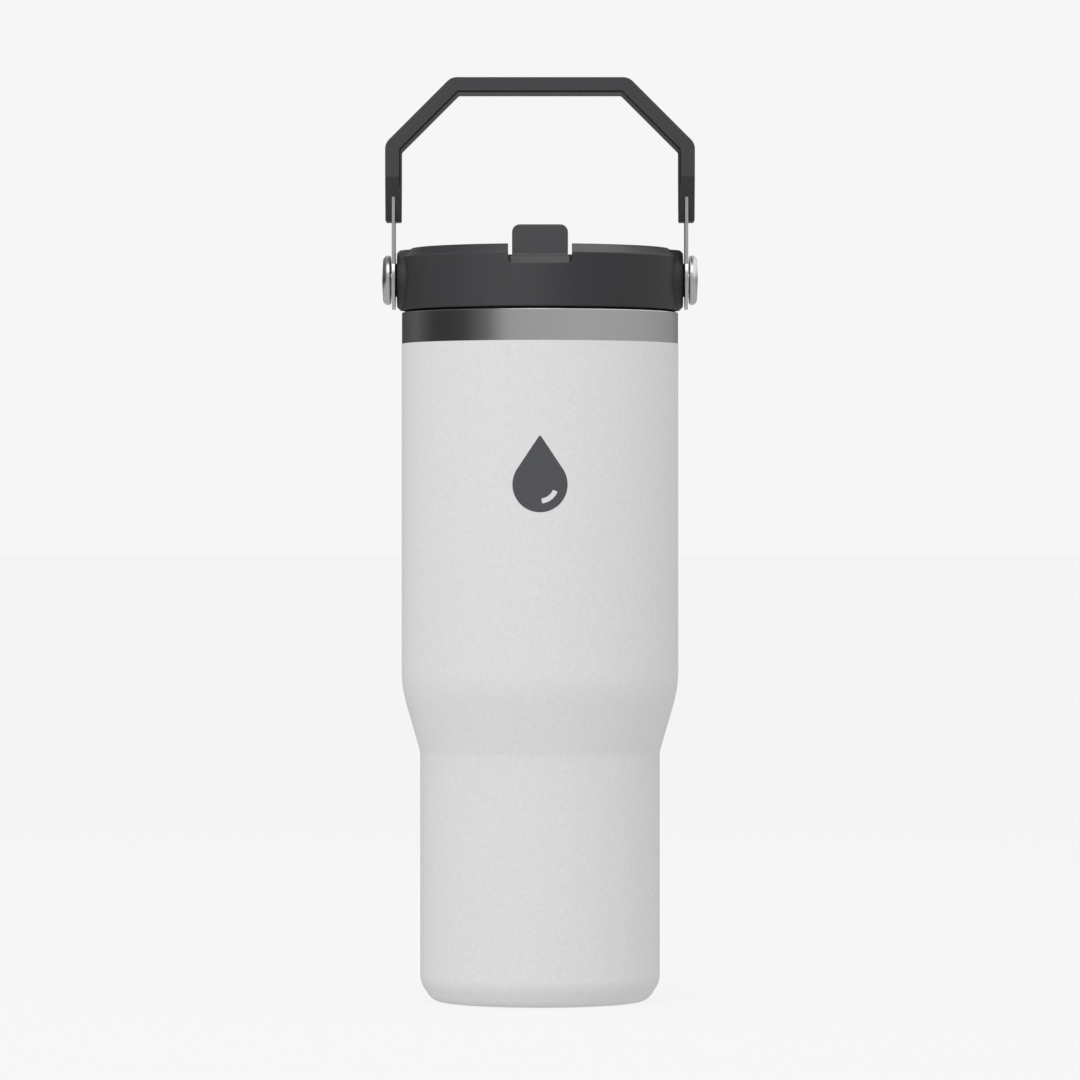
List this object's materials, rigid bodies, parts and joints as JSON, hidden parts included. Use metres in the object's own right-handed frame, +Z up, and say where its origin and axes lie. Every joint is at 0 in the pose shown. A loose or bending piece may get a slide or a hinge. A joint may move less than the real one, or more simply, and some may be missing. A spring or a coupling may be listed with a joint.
{
  "type": "insulated water bottle",
  "caption": "Insulated steel bottle: stepped double-wall body, screw lid with flip spout and straw, swinging angular carry handle.",
  "frame": {"origin": "centre of the flat ring that the bottle rests on", "axes": "+Z up along the body's axis, front (the spout's tab) towards -Y, handle pivots on the X axis"},
  "size_m": [0.0998, 0.0874, 0.2916],
  "materials": {
    "powder_coat": "fine matt powder coat, pale grey",
    "bare_steel": "satin stainless steel, turned grain on the neck band",
    "charcoal_plastic": "fine-grained matt charcoal moulding",
    "silicone": "soft matt black",
    "clear_straw": "frosted translucent tube",
    "insert_brass": "knurled brass"
  },
  "bodies": {
    "bottle": {"outer_shell": "powder_coat", "inner_liner": "bare_steel", "base_cap": "bare_steel", "seal_bead": "bare_steel", "vacuum_getter": "bare_steel"},
    "lid_seal": {"lid_gasket": "silicone"},
    "lid": {"lid_housing": "charcoal_plastic", "lid_underplate": "charcoal_plastic", "port_seal": "silicone", "vent_valve": "silicone", "straw": "clear_straw", "pivot_insert_left": "insert_brass", "pivot_insert_right": "insert_brass", "pivot_bushing_left": "silicone", "pivot_bushing_right": "silicone", "pivot_pin_left": "bare_steel", "pivot_pin_right": "bare_steel"},
    "spout": {"spout": "charcoal_plastic"},
    "handle": {"handle_grip": "charcoal_plastic", "strap_left": "bare_steel", "strap_right": "bare_steel"}
  },
  "joints": [
    {"name": "lid_rise", "type": "slide", "parent": "bottle", "child": "lid_seal", "axis": [0, 0, 1], "range_m": [0, 0.0067]},
    {"name": "lid_turn", "type": "hinge", "parent": "lid_seal", "child": "lid", "pos_m": [0, 0, 0.21], "axis": [0, 0, 1], "range_deg": [0, 600]},
    {"name": "handle_swing", "type": "hinge", "parent": "lid", "child": "handle", "pos_m": [0, 0, 0.228], "axis": [1, 0, 0], "range_deg": [-120, 120]},
    {"name": "spout_flip", "type": "hinge", "parent": "lid", "child": "spout", "pos_m": [0, -0.03, 0.2283], "axis": [1, 0, 0], "range_deg": [0, 90]}
  ],
  "couplings": [
    {"joint": "lid_rise", "follows": "lid_turn", "m_per_rad": 0.00063662}
  ]
}
